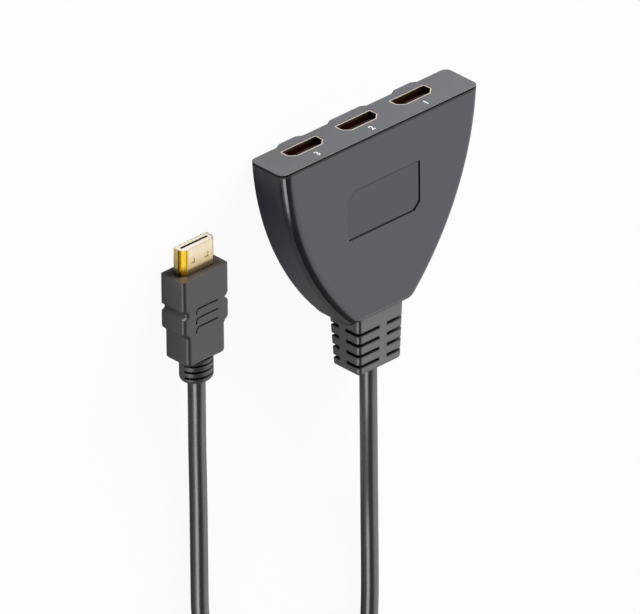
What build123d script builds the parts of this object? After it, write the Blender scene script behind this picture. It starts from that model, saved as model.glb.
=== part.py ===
from build123d import *
from math import cos, hypot, pi, sin, sqrt
import os

# Video switch box with three input sockets and one fixed output cable that ends in a plug.
# Millimetres. X runs along the row of sockets, +Y points out of the port face, +Z up.
# The box lies on its lobes with the flat label face up, so the select button faces down.
# The origin is on the surface it lies on, in the middle of the box and its strain relief.

# Casing
case_width = 83.0
case_length = 64.1
case_depth = 14.6
side_radius = 100.6
far_end_width = 26.1
far_corner_radius = 4.4
edge_radius = 2.3
port_edge_radius = 0.2
side_wall = 2.0
label_wall = 2.2
port_wall = 1.8
panel_lip = 0.25
seam_gap = 0.5
cover_rim = 1.0
cover_plate = 1.8
fit_gap = 0.12
overrun = 1.0

# Lobes that the box lies on, one beside each socket, the middle one wider
lobe_height = 1.0
lobe_length = 9.0
lobe_slope = 1.8
outer_lobe_width = 10.6
middle_lobe_width = 16.2
lobe_pitch = 24.1
lobe_shift = -0.5

# Label recess and its blank plate
label_width = 30.0
label_height = 16.9
label_corner = 2.5
label_recess = 0.75
label_plate_thickness = 0.45
label_plate_gap = 0.35
label_shift = 1.25
label_setback = 25.0

# Sockets
socket_width = 15.0
socket_height = 5.5
socket_side = 3.5
socket_narrow_width = 10.4
socket_corner_radius = 0.5
socket_pitch = 22.8
socket_row_shift = -0.9
socket_from_back = 2.65
socket_hole_gap = 0.1
shell_wall = 0.4
shell_depth = 11.6
shell_inset = 0.1
shell_leg_length = 1.4
shell_leg_inset = 3.0
board_rim = 0.9
shell_leg_tip = 0.7
insulator_depth = 3.2
tongue_width = 11.4
tongue_thickness = 1.3
tongue_setback = 1.6

# Socket contacts
contact_pitch = 1.0
contact_width = 0.45
contact_thickness = 0.15
contact_tip_setback = 0.8
upper_contact_count = 10
lower_contact_count = 9
upper_tail_reach = 0.9
lower_tail_reach = 1.9

# Circuit board and what it carries
board_thickness = 1.2
board_side_gap = 0.6
board_front_gap = 0.3
board_length = 44.8
board_corner_radius = 2.0
slot_gap = 0.2
hole_gap = 0.15
chip_size = 10.0
chip_height = 1.4
chip_standoff = 0.1
lead_pitch = 0.8
lead_width = 0.35
lead_reach = 1.0
lead_thickness = 0.2
chip_leads_per_side = 11
equaliser_size = 6.0
equaliser_height = 0.9
equaliser_setback = 36.5
equaliser_leads_per_side = 6
regulator_size = (6.5, 3.5, 1.6)
regulator_spot = (-19.0, 30.5)
crystal_size = (3.2, 2.5, 0.8)
crystal_spot = (16.0, 31.5)
passive_size = (1.6, 0.8, 0.6)
passive_pitch = 2.4
passive_columns = 8
passive_rows = 2
passive_setback = 16.5
passive_row_pitch = 27.0

# Posts, pegs and the cover screws under the label plate
screw_spacing = 22.0
screw_radius = 1.0
screw_head_radius = 2.0
screw_head_height = 1.2
screw_head_gap = 0.2
screw_drive_width = 0.5
screw_drive_depth = 0.6
screw_engagement = 4.2
boss_radius = 2.8
peg_radius = 1.6
peg_tip_radius = 0.8
peg_spacing = 69.0
peg_setback = 6.5

# Select button, its surround ring and the push switch behind it
button_setback = 40.0
button_radius = 4.9
button_gap = 0.25
button_recess = 0.3
button_flange_radius = 6.0
button_flange_thickness = 0.8
button_flange_gap = 0.1
button_rim_radius = 0.4
button_travel = 0.35
button_stem_radius = 1.4
ring_width = 2.5
ring_chamfer = 0.5
switch_size = 6.0
switch_height = 3.5
switch_frame_thickness = 0.3
switch_hole_radius = 2.0
plunger_radius = 1.75
plunger_proud = 0.75
plunger_depth = 1.35
dome_height = 0.95
dome_thickness = 0.12
dome_gap = 0.05

# Indicators
pipe_radius = 1.0
pipe_flange_radius = 1.5
pipe_flange_height = 0.6
pipe_gap = 0.05
pipe_setback = 17.0
led_size = (1.6, 0.8, 0.6)
led_gap = 0.2

# Strain relief on the box, and the cable inside it
relief_length = 19.4
relief_root_width = 19.4
relief_root_depth = 13.0
relief_tip_width = 18.1
relief_tip_depth = 11.0
relief_from_back = 8.0
relief_root_drop = 0.35
relief_tip_radius = 1.4
relief_side_radius = 1.5
relief_slot_thickness = 1.0
relief_slot_depth = 1.5
relief_slot_pitch = 3.8
relief_slot_rows = 4
relief_first_slot = 4.0
relief_web = 3.0
relief_web_shift = 0.9
relief_side_web_shift = -1.4
neck_width = 13.0
neck_depth = 7.6
neck_gap = 0.1
flange_width = 17.0
flange_gap = 0.15
flange_thickness = 1.6
cable_diameter = 5.54
stub_end_gap = 4.9
ferrule_wall = 0.35
ferrule_length = 4.2
ferrule_gap = 0.3
wire_count = 8
wire_radius = 0.22
wire_start_pitch = 0.5
wire_end_pitch = 1.6
wire_overlap = 2.0
wire_lift = 0.05
wire_stub_gap = 0.15

# Plug, lying beside the box with its mouth the same way as the sockets
plug_x = -68.0
plug_mouth_setback = 16.3
plug_shell_exposed = 8.9
plug_shell_buried = 8.0
plug_shell_width = 13.9
plug_shell_height = 4.45
plug_shell_side = 3.0
plug_shell_narrow_width = 10.9
plug_shell_radius = 0.45
plug_shell_wall = 0.4
plug_dimple_width = 1.5
plug_dimple_length = 1.7
plug_dimple_depth = 0.22
plug_dimple_spacing = 5.6
plug_dimple_setback = 3.5
plug_slot_width = 11.2
plug_slot_height = 0.9
plug_slot_drop = 0.35
plug_slot_depth = 6.5
plug_insulator_inset = 0.1
plug_contact_inset = 0.8
plug_contact_length = 4.8
grip_width = 19.2
grip_depth = 9.94
grip_head_length = 18.4
grip_step_length = 1.6
grip_step = 1.75
grip_tail_length = 10.35
grip_edge_radius = 1.5
grip_back_radius = 0.4
grip_notch_length = 2.6
grip_notch_depth = 1.25
grip_notch_slope = 1.3
grip_notch_lip = 0.7
grip_notch_setback = 10.2
grip_groove_count = 3
grip_groove_pitch = 3.15
grip_groove_width = 0.6
grip_groove_length = 9.0
grip_groove_hook = 2.0
grip_groove_bend = 1.3
grip_groove_depth = 0.7
grip_groove_setback = 10.9
grip_groove_shift = 0.3
plug_relief_length = 7.85
plug_relief_width = 11.2
plug_relief_depth = 9.8
plug_relief_tip_round = 1.6
rib_groove_count = 3
rib_groove_pitch = 2.1
rib_groove_width = 0.8
rib_groove_depth = 1.1
rib_first_groove = 0.95
rib_web_low = 4.0
rib_web_high = 0.6

# Put-away coil of the cable and its tie
coil_x = -25.5
coil_y = -162.5
coil_radius = 29.5
coil_turn_step = 6.5
coil_exit_step = 6.1
coil_climb = 6.0
tie_thickness = 0.4
tie_gap = 0.1
tie_side_gap = 0.4
tie_length = 6.0
tie_corner_radius = 1.6

# Levels and lines that follow from the sizes above
overall_length = case_length + relief_length
port_y = overall_length / 2
far_y = port_y - case_length
back_z = lobe_height
label_z = back_z + case_depth
plate_top = back_z + cover_plate
cavity_top = label_z - label_wall
cover_mouth = port_y - panel_lip - seam_gap
panel_back = port_y - port_wall
socket_low = back_z + socket_from_back
socket_high = socket_low + socket_height
board_low = socket_high
board_high = board_low + board_thickness
board_front = panel_back - board_front_gap
board_back = board_front - board_length
socket_xs = [socket_row_shift + side * socket_pitch for side in (-1, 0, 1)]
shell_front = port_y - shell_inset
shell_back = shell_front - shell_depth
label_y = port_y - label_setback
screw_xs = [label_shift + side * screw_spacing / 2 for side in (-1, 1)]
label_floor = label_z - label_recess
head_floor = label_floor - screw_head_height - screw_head_gap
button_y = port_y - button_setback
relief_z = back_z + relief_from_back
relief_tip_y = far_y - relief_length
cable_radius = cable_diameter / 2

chord_x = (case_width - far_end_width) / 2
side_chord = hypot(chord_x, case_length)
chord_offset = sqrt(side_radius**2 - (side_chord / 2) ** 2)
side_center_x = (case_width + far_end_width) / 4 - chord_offset * case_length / side_chord
side_center_y = port_y - case_length / 2 + chord_offset * chord_x / side_chord


def side_x(y, inset):
    """Half the casing's width at y, drawn in by inset from the curved side."""
    return side_center_x + sqrt((side_radius - inset) ** 2 - (y - side_center_y) ** 2)


def shield(inset, port_line, far_line, corner_radius):
    """Casing outline between two lines across it, drawn in from the curved sides."""
    port_x = side_x(port_line, inset)
    far_x = side_x(far_line, inset)
    with BuildSketch() as outline:
        with BuildLine():
            Line((-port_x, port_line), (port_x, port_line))
            RadiusArc((port_x, port_line), (far_x, far_line), side_radius - inset)
            Line((far_x, far_line), (-far_x, far_line))
            RadiusArc((-far_x, far_line), (-port_x, port_line), side_radius - inset)
        make_face()
        fillet(outline.vertices().group_by(Axis.Y)[0], corner_radius)
    return outline.sketch


def slab(outline, low, high):
    """Outline in X and Y, extruded from height low to height high."""
    with BuildPart() as solid:
        with BuildSketch(Plane.XY.offset(low)):
            add(outline)
        extrude(amount=high - low)
    return solid.part


def bar(profile, front_y, length):
    """Profile in X and Z, extruded back from the line front_y."""
    with BuildPart() as solid:
        with BuildSketch(Plane.XZ.offset(-front_y)):
            add(profile)
        extrude(amount=length)
    return solid.part


def block(x_span, y_span, z_span):
    """Box between three pairs of limits."""
    with BuildPart() as solid:
        with BuildSketch(Plane.XY.offset(z_span[0])):
            with Locations(((x_span[0] + x_span[1]) / 2, (y_span[0] + y_span[1]) / 2)):
                Rectangle(x_span[1] - x_span[0], y_span[1] - y_span[0])
        extrude(amount=z_span[1] - z_span[0])
    return solid.part


def seated_box(size, spot, base, up=1):
    """Small box of size, its middle at spot, standing on height base."""
    half_x, half_y = size[0] / 2, size[1] / 2
    top = base + up * size[2]
    return block(
        (spot[0] - half_x, spot[0] + half_x),
        (spot[1] - half_y, spot[1] + half_y),
        (min(base, top), max(base, top)),
    )


def post(x, y, low, high, radius):
    """Upright cylinder."""
    with BuildPart() as solid:
        with BuildSketch(Plane.XY.offset(low)):
            with Locations((x, y)):
                Circle(radius)
        extrude(amount=high - low)
    return solid.part


def connector_profile(x, low, width, height, side, narrow, grow, radius):
    """Video connector outline in X and Z: wide side down, narrow side up."""
    with BuildSketch() as profile:
        with BuildLine():
            Polyline(
                (x - width / 2, low),
                (x + width / 2, low),
                (x + width / 2, low + side),
                (x + narrow / 2, low + height),
                (x - narrow / 2, low + height),
                (x - width / 2, low + side),
                close=True,
            )
        make_face()
        fillet(profile.vertices(), radius)
        if grow != 0:
            offset(amount=grow)
    return profile.sketch


def socket_profile(x, grow=0):
    return connector_profile(
        x, socket_low, socket_width, socket_height, socket_side, socket_narrow_width,
        grow, socket_corner_radius,
    )


def save(piece, name):
    piece.part.label = name
    export_step(piece.part, f"parts/{name}.step")


os.makedirs("parts", exist_ok=True)

# Outer form of the closed casing, which both covers are cut from
with BuildPart() as casing_form:
    with BuildSketch(Plane.XY.offset(back_z)):
        add(shield(0, port_y, far_y, far_corner_radius))
    extrude(amount=case_depth)
    levels = casing_form.edges().group_by(Axis.Z)
    long_edges = (levels[0] + levels[-1]).filter_by(lambda edge: edge.center().Y < cover_mouth)
    fillet(long_edges, edge_radius)
    port_face = casing_form.faces().sort_by(Axis.Y)[-1]
    fillet(port_face.outer_wire().edges(), port_edge_radius)

neck_slot_half = neck_width / 2 + neck_gap
neck_low = relief_z - neck_depth / 2
neck_high = relief_z + neck_depth / 2
inner_far_y = far_y + side_wall

# Label-side cover: label face, curved sides and far end wall
with BuildPart() as label_cover:
    add(casing_form.part)
    add(
        block(
            (-case_width, case_width), (cover_mouth, port_y + overrun), (0, label_z + overrun)
        ),
        mode=Mode.SUBTRACT,
    )
    cavity = shield(side_wall, port_y + overrun, inner_far_y, far_corner_radius - side_wall)
    add(slab(cavity, plate_top - overrun, cavity_top), mode=Mode.SUBTRACT)
    seat = shield(cover_rim, port_y + overrun, far_y + cover_rim, far_corner_radius - cover_rim)
    add(slab(seat, back_z - overrun, plate_top), mode=Mode.SUBTRACT)
    add(
        block(
            (-neck_slot_half, neck_slot_half),
            (far_y - overrun, inner_far_y + overrun),
            (back_z - overrun, neck_high + neck_gap),
        ),
        mode=Mode.SUBTRACT,
    )
    for screw_x in screw_xs:
        add(post(screw_x, label_y, board_high, cavity_top + overrun, boss_radius))
    with BuildSketch(Plane.XY.offset(label_z)) as recess:
        with Locations((label_shift, label_y)):
            Rectangle(label_width, label_height)
        diagonal = recess.vertices().sort_by(lambda corner: corner.X - corner.Y)
        chamfer([diagonal[0], diagonal[-1]], label_corner)
    extrude(amount=-label_recess, mode=Mode.SUBTRACT)
    with Locations(*[Location((screw_x, label_y, label_floor)) for screw_x in screw_xs]):
        CounterBoreHole(
            radius=screw_radius + hole_gap,
            counter_bore_radius=screw_head_radius + hole_gap,
            counter_bore_depth=screw_head_height + screw_head_gap,
        )
save(label_cover, "label_cover")

# Blank plate in the label recess, over the screw heads
with BuildPart() as label_plate:
    with BuildSketch(Plane.XY.offset(label_floor)) as plate_outline:
        with Locations((label_shift, label_y)):
            Rectangle(label_width - 2 * label_plate_gap, label_height - 2 * label_plate_gap)
        diagonal = plate_outline.vertices().sort_by(lambda corner: corner.X - corner.Y)
        chamfer([diagonal[0], diagonal[-1]], label_corner)
    extrude(amount=label_plate_thickness)
save(label_plate, "label_plate")

# Button-side cover: back plate with lobes, port wall, posts and the button's ring
plate_inset = cover_rim + fit_gap
with BuildPart() as cover_zone:
    add(
        slab(
            shield(plate_inset, port_y, far_y + plate_inset, far_corner_radius - plate_inset),
            back_z - overrun,
            plate_top,
        )
    )
    add(block((-case_width, case_width), (port_y - panel_lip, port_y + overrun), (0, label_z)))
    panel_half = side_x(panel_back, side_wall) - fit_gap
    add(
        block(
            (-panel_half, panel_half), (panel_back, port_y), (plate_top, cavity_top - fit_gap)
        )
    )
    tongue_half = neck_width / 2
    add(
        block(
            (-tongue_half, tongue_half),
            (far_y, inner_far_y),
            (back_z - overrun, neck_low - neck_gap),
        )
    )

with BuildPart() as button_cover:
    add(casing_form.part)
    add(cover_zone.part, mode=Mode.INTERSECT)
    for lobe_x, lobe_width in (
        (lobe_shift - lobe_pitch, outer_lobe_width),
        (lobe_shift, middle_lobe_width),
        (lobe_shift + lobe_pitch, outer_lobe_width),
    ):
        with BuildSketch(Plane.XZ.offset(-port_y)):
            with BuildLine():
                Polyline(
                    (lobe_x - lobe_width / 2, plate_top),
                    (lobe_x - lobe_width / 2, back_z),
                    (lobe_x - lobe_width / 2 + lobe_slope, 0),
                    (lobe_x + lobe_width / 2 - lobe_slope, 0),
                    (lobe_x + lobe_width / 2, back_z),
                    (lobe_x + lobe_width / 2, plate_top),
                    close=True,
                )
            make_face()
        extrude(amount=lobe_length)
    ramps = button_cover.faces().filter_by(Axis.Z).group_by(Axis.Z)[0].edges()
    chamfer(ramps.filter_by(Axis.X).group_by(Axis.Y)[0], back_z - port_edge_radius)
    ring_radius = button_radius + button_gap + ring_width
    add(post(0, button_y, 0, plate_top, ring_radius))
    ring_rim = button_cover.edges().filter_by(GeomType.CIRCLE).group_by(Axis.Z)[0]
    chamfer(ring_rim, ring_chamfer)
    for screw_x in screw_xs:
        add(post(screw_x, label_y, plate_top, board_low, boss_radius))
    for side in (-1, 1):
        peg_x = side * peg_spacing / 2
        add(post(peg_x, port_y - peg_setback, plate_top, board_low, peg_radius))
        add(post(peg_x, port_y - peg_setback, board_low, board_high, peg_tip_radius))
    add(
        post(0, button_y, -overrun, plate_top + overrun, button_radius + button_gap),
        mode=Mode.SUBTRACT,
    )
    for screw_x in screw_xs:
        add(
            post(screw_x, label_y, board_low - screw_engagement, board_low, screw_radius),
            mode=Mode.SUBTRACT,
        )
    for socket_x in socket_xs:
        add(
            bar(
                socket_profile(socket_x, socket_hole_gap),
                port_y + overrun,
                port_wall + 2 * overrun,
            ),
            mode=Mode.SUBTRACT,
        )
        add(
            post(
                socket_x, port_y - pipe_setback, -overrun, plate_top + overrun,
                pipe_radius + pipe_gap,
            ),
            mode=Mode.SUBTRACT,
        )
save(button_cover, "button_cover")

# Sockets: shell, insulator with its tongue, and contacts
tongue_low = (socket_low + socket_high - tongue_thickness) / 2
tongue_high = tongue_low + tongue_thickness
tongue_tip = shell_front - tongue_setback
contact_tip = tongue_tip - contact_tip_setback
leg_out = socket_width / 2
leg_in = leg_out - shell_wall
leg_ys = [
    board_front - board_rim - slot_gap - shell_leg_length,
    shell_back + shell_leg_inset,
]
leg_root = socket_low + socket_side - shell_leg_length


def leg_spans(socket_x, side, gap):
    """X limits of a shell's leg, or of its slot where gap is not zero."""
    near, far = sorted((socket_x + side * leg_in, socket_x + side * leg_out))
    return near - gap, far + gap


def contact_row(socket_x, count, face_z, direction, tail_reach):
    """A row of spring contacts on one face of the tongue, with tails to the board."""
    with BuildPart() as row:
        for index in range(count):
            x = socket_x + (index - (count - 1) / 2) * contact_pitch
            span = (x - contact_width / 2, x + contact_width / 2)
            far_z = face_z + direction * contact_thickness
            tail_y = shell_back - tail_reach
            low_z, high_z = min(face_z, far_z), max(face_z, far_z)
            add(block(span, (tail_y, contact_tip), (low_z, high_z)))
            add(block(span, (tail_y, tail_y + contact_thickness), (low_z, board_low)))
    return row.part


for number, socket_x in zip((3, 2, 1), socket_xs):
    with BuildPart() as socket_contacts:
        add(contact_row(socket_x, upper_contact_count, tongue_high, 1, upper_tail_reach))
        add(contact_row(socket_x, lower_contact_count, tongue_low, -1, lower_tail_reach))
    save(socket_contacts, f"socket_contacts_{number}")

    with BuildPart() as socket_shell:
        add(bar(socket_profile(socket_x), shell_front, shell_depth))
        add(
            bar(
                socket_profile(socket_x, -shell_wall),
                shell_front + overrun,
                shell_depth + 2 * overrun,
            ),
            mode=Mode.SUBTRACT,
        )
        for side in (-1, 1):
            for leg_y in leg_ys:
                add(
                    block(
                        leg_spans(socket_x, side, 0),
                        (leg_y, leg_y + shell_leg_length),
                        (leg_root, board_high + shell_leg_tip),
                    )
                )
    save(socket_shell, f"socket_shell_{number}")

    with BuildPart() as socket_insulator:
        add(
            bar(
                socket_profile(socket_x, -shell_wall),
                shell_back + insulator_depth,
                insulator_depth,
            )
        )
        add(
            block(
                (socket_x - tongue_width / 2, socket_x + tongue_width / 2),
                (shell_back, tongue_tip),
                (tongue_low, tongue_high),
            )
        )
        add(socket_contacts.part, mode=Mode.SUBTRACT)
    save(socket_insulator, f"socket_insulator_{number}")

# Circuit board, held between the covers' posts
with BuildPart() as circuit_board:
    add(
        slab(
            shield(side_wall + board_side_gap, board_front, board_back, board_corner_radius),
            board_low,
            board_high,
        )
    )
    for screw_x in screw_xs:
        add(
            post(screw_x, label_y, board_low, board_high, screw_radius + hole_gap),
            mode=Mode.SUBTRACT,
        )
    for side in (-1, 1):
        add(
            post(
                side * peg_spacing / 2, port_y - peg_setback, board_low, board_high,
                peg_tip_radius + hole_gap,
            ),
            mode=Mode.SUBTRACT,
        )
    for socket_x in socket_xs:
        for side in (-1, 1):
            for leg_y in leg_ys:
                add(
                    block(
                        leg_spans(socket_x, side, slot_gap),
                        (leg_y - slot_gap, leg_y + shell_leg_length + slot_gap),
                        (board_low, board_high),
                    ),
                    mode=Mode.SUBTRACT,
                )
save(circuit_board, "circuit_board")


def leaded_chip(size, height, spot, base, up, leads_per_side):
    """Square chip with a row of leads along each of its four sides."""
    with BuildPart() as chip:
        add(seated_box((size, size, height), spot, base + up * chip_standoff, up))
        for turn in range(4):
            for index in range(leads_per_side):
                along = (index - (leads_per_side - 1) / 2) * lead_pitch
                out = size / 2 + lead_reach / 2
                across_x = turn % 2 == 0
                side = 1 if turn < 2 else -1
                place = (side * out, along) if across_x else (along, side * out)
                foot = (lead_reach, lead_width) if across_x else (lead_width, lead_reach)
                add(
                    seated_box(
                        (*foot, lead_thickness),
                        (spot[0] + place[0], spot[1] + place[1]),
                        base,
                        up,
                    )
                )
    return chip


switch_chip = leaded_chip(
    chip_size, chip_height, (label_shift, label_y), board_low, -1, chip_leads_per_side
)
save(switch_chip, "switch_chip")

equaliser_chip = leaded_chip(
    equaliser_size, equaliser_height, (0, port_y - equaliser_setback), board_high, 1,
    equaliser_leads_per_side,
)
save(equaliser_chip, "equaliser_chip")

with BuildPart() as regulator:
    add(
        seated_box(
            regulator_size, (regulator_spot[0], port_y - regulator_spot[1]), board_high
        )
    )
    chamfer(regulator.faces().sort_by(Axis.Z)[-1].edges(), chip_standoff)
save(regulator, "regulator")

with BuildPart() as crystal:
    add(seated_box(crystal_size, (crystal_spot[0], port_y - crystal_spot[1]), board_high))
    fillet(crystal.edges().filter_by(Axis.Z), crystal_size[2] / 2)
save(crystal, "crystal")

with BuildPart() as board_passives:
    for row in range(passive_rows):
        for column in range(passive_columns):
            spot = (
                label_shift + (column - (passive_columns - 1) / 2) * passive_pitch,
                port_y - passive_setback - row * passive_row_pitch,
            )
            add(seated_box(passive_size, spot, board_high))
save(board_passives, "board_passives")

# Cover screws, driven from the label side and hidden by the label plate
with BuildPart() as cover_screws:
    for screw_x in screw_xs:
        shank_low = board_low - screw_engagement
        add(post(screw_x, label_y, shank_low, head_floor, screw_radius))
        add(
            post(
                screw_x, label_y, head_floor, head_floor + screw_head_height, screw_head_radius
            )
        )
        head_top = head_floor + screw_head_height
        for long_x, long_y in ((1, 0), (0, 1)):
            half_x = screw_head_radius / 2 if long_x else screw_drive_width / 2
            half_y = screw_head_radius / 2 if long_y else screw_drive_width / 2
            add(
                block(
                    (screw_x - half_x, screw_x + half_x),
                    (label_y - half_y, label_y + half_y),
                    (head_top - screw_drive_depth, head_top),
                ),
                mode=Mode.SUBTRACT,
            )
save(cover_screws, "cover_screws")

# Push switch on the board, behind the select button
switch_low = board_low - switch_height
frame_low = switch_low - switch_frame_thickness
bore_top = switch_low + plunger_depth + dome_height + dome_gap
plunger_low = frame_low - plunger_proud + switch_frame_thickness
plunger_high = switch_low + plunger_depth

with BuildPart() as push_switch_base:
    add(seated_box((switch_size, switch_size, switch_height), (0, button_y), switch_low))
    add(
        post(0, button_y, switch_low, bore_top, switch_hole_radius),
        mode=Mode.SUBTRACT,
    )
save(push_switch_base, "push_switch_base")

with BuildPart() as push_switch_frame:
    add(
        seated_box(
            (switch_size, switch_size, switch_frame_thickness), (0, button_y), frame_low
        )
    )
    for side in (-1, 1):
        near, far = sorted(
            (side * switch_size / 2, side * (switch_size / 2 + switch_frame_thickness))
        )
        add(
            block(
                (near, far),
                (button_y - switch_size / 4, button_y + switch_size / 4),
                (frame_low, board_low),
            )
        )
    add(
        post(0, button_y, frame_low - overrun, switch_low, switch_hole_radius),
        mode=Mode.SUBTRACT,
    )
save(push_switch_frame, "push_switch_frame")

with BuildPart() as snap_dome:
    dome_rim = switch_hole_radius - dome_gap
    with BuildSketch(Plane.XZ.offset(-button_y)):
        with BuildLine():
            Polyline(
                (0, plunger_high + dome_gap),
                (dome_rim / 2, plunger_high + dome_gap),
                (dome_rim, bore_top - dome_thickness),
                (dome_rim, bore_top),
                (dome_rim - dome_thickness, bore_top),
                (dome_rim / 2 - dome_thickness, plunger_high + dome_gap + dome_thickness),
                (0, plunger_high + dome_gap + dome_thickness),
                close=True,
            )
        make_face()
    revolve(axis=Axis((0, button_y, 0), (0, 0, 1)))
save(snap_dome, "snap_dome")

with BuildPart() as push_switch_plunger:
    add(post(0, button_y, plunger_low, plunger_high, plunger_radius))
save(push_switch_plunger, "push_switch_plunger")

# Select button: cap with a rounded rim, retaining flange and stem to the plunger
flange_low = plate_top + button_flange_gap
flange_high = flange_low + button_flange_thickness
with BuildPart() as select_button:
    with BuildSketch(Plane.XZ.offset(-button_y)):
        with BuildLine():
            Polyline(
                (0, button_recess),
                (0, plunger_low),
                (button_stem_radius, plunger_low),
                (button_stem_radius, flange_high),
                (button_flange_radius, flange_high),
                (button_flange_radius, flange_low),
                (button_radius, flange_low),
                (button_radius, button_recess),
                close=True,
            )
        make_face()
    revolve(axis=Axis((0, button_y, 0), (0, 0, 1)))
    cap_rim = select_button.edges().filter_by(GeomType.CIRCLE).group_by(Axis.Z)[0]
    fillet(cap_rim, button_rim_radius)
save(select_button, "select_button")

# Indicator LEDs on the board and the light pipes that carry their light to the cover
led_low = board_low - led_size[2]
pipe_high = led_low - led_gap
with BuildPart() as indicator_leds:
    for socket_x in socket_xs:
        add(seated_box(led_size, (socket_x, port_y - pipe_setback), led_low))
save(indicator_leds, "indicator_leds")

with BuildPart() as light_pipes:
    for socket_x in socket_xs:
        pipe_y = port_y - pipe_setback
        add(post(socket_x, pipe_y, back_z, pipe_high, pipe_radius))
        add(
            post(socket_x, pipe_y, plate_top, plate_top + pipe_flange_height, pipe_flange_radius)
        )
save(light_pipes, "light_pipes")

# Strain relief on the box: tapered block with slots, a neck in the wall and an inner flange
def relief_outline(width, depth, middle):
    with BuildSketch() as outline:
        with Locations((0, middle)):
            Rectangle(width, depth)
        fillet(outline.vertices().group_by(Axis.Y)[-1], relief_side_radius)
    return outline.sketch


with BuildPart() as relief_body:
    with BuildSketch(Plane.XZ.offset(-(far_y + edge_radius))):
        add(relief_outline(relief_root_width, relief_root_depth, relief_z - relief_root_drop))
    with BuildSketch(Plane.XZ.offset(-relief_tip_y)):
        add(relief_outline(relief_tip_width, relief_tip_depth, relief_z))
    loft()
    tip_face = relief_body.faces().sort_by(Axis.Y)[0]
    fillet(tip_face.edges().sort_by(Axis.Z)[1:], relief_tip_radius)
    add(casing_form.part, mode=Mode.SUBTRACT)

core_width = relief_tip_width - 2 * relief_slot_depth
core_depth = relief_tip_depth - 2 * relief_slot_depth
with BuildPart() as strain_relief:
    add(relief_body.part)
    for row in range(relief_slot_rows):
        slot_y = far_y - relief_first_slot - row * relief_slot_pitch
        with BuildSketch(Plane.XZ.offset(-slot_y)):
            with Locations((0, relief_z)):
                Rectangle(relief_root_width + overrun, relief_root_depth + overrun)
                Rectangle(core_width, core_depth, mode=Mode.SUBTRACT)
            with Locations((relief_web_shift, relief_z)):
                Rectangle(relief_web, relief_root_depth + 2 * overrun, mode=Mode.SUBTRACT)
            with Locations((0, relief_z + relief_side_web_shift)):
                Rectangle(relief_root_width + 2 * overrun, relief_web, mode=Mode.SUBTRACT)
        extrude(amount=relief_slot_thickness, mode=Mode.SUBTRACT)
    add(
        block(
            (-neck_width / 2, neck_width / 2), (far_y, inner_far_y), (neck_low, neck_high)
        )
    )
    add(
        block(
            (-flange_width / 2, flange_width / 2),
            (inner_far_y, inner_far_y + flange_thickness),
            (plate_top + flange_gap, cavity_top - flange_gap),
        )
    )
    with BuildSketch(Plane.XZ.offset(-relief_tip_y)):
        with Locations((0, relief_z)):
            Circle(cable_radius)
    extrude(amount=-(relief_length + side_wall + flange_thickness), mode=Mode.SUBTRACT)
save(strain_relief, "strain_relief")

# Cable end inside the relief and the casing, its ferrule and the wires to the board
stub_y = inner_far_y + flange_thickness + stub_end_gap
with BuildSketch() as cable_section:
    with Locations((0, relief_z)):
        Circle(cable_radius)
with BuildPart() as cable_stub:
    add(bar(cable_section.sketch, stub_y, stub_y - relief_tip_y))
save(cable_stub, "cable_stub")

with BuildSketch() as ferrule_section:
    with Locations((0, relief_z)):
        Circle(cable_radius + ferrule_wall)
        Circle(cable_radius, mode=Mode.SUBTRACT)
with BuildPart() as cable_ferrule:
    add(bar(ferrule_section.sketch, stub_y - ferrule_gap, ferrule_length))
save(cable_ferrule, "cable_ferrule")

with BuildPart() as output_wires:
    for index in range(wire_count):
        place = index - (wire_count - 1) / 2
        wire_z = board_high + wire_radius + wire_lift
        start = Vector(place * wire_start_pitch, stub_y + wire_stub_gap, wire_z)
        end = Vector(place * wire_end_pitch, board_back + wire_overlap, wire_z)
        with BuildLine():
            run = Line(start, end)
        with BuildSketch(Plane(origin=start, z_dir=end - start)):
            Circle(wire_radius)
        sweep(path=run)
save(output_wires, "output_wires")

# Plug: moulded grip with notches and grooves, and a round ribbed strain relief
plug_mouth_y = port_y - plug_mouth_setback
grip_front_y = plug_mouth_y - plug_shell_exposed
grip_step_y = grip_front_y - grip_head_length
grip_tail_y = grip_step_y - grip_step_length
grip_back_y = grip_tail_y - grip_tail_length
plug_end_y = grip_back_y - plug_relief_length
plug_z = grip_depth / 2
grip_half = grip_width / 2
tail_half = grip_half - grip_step
shell_low = plug_z - plug_shell_height / 2
slot_z = plug_z - plug_slot_drop


def plug_shell_profile(grow=0):
    return connector_profile(
        plug_x, shell_low, plug_shell_width, plug_shell_height, plug_shell_side,
        plug_shell_narrow_width, grow, plug_shell_radius,
    )


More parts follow.
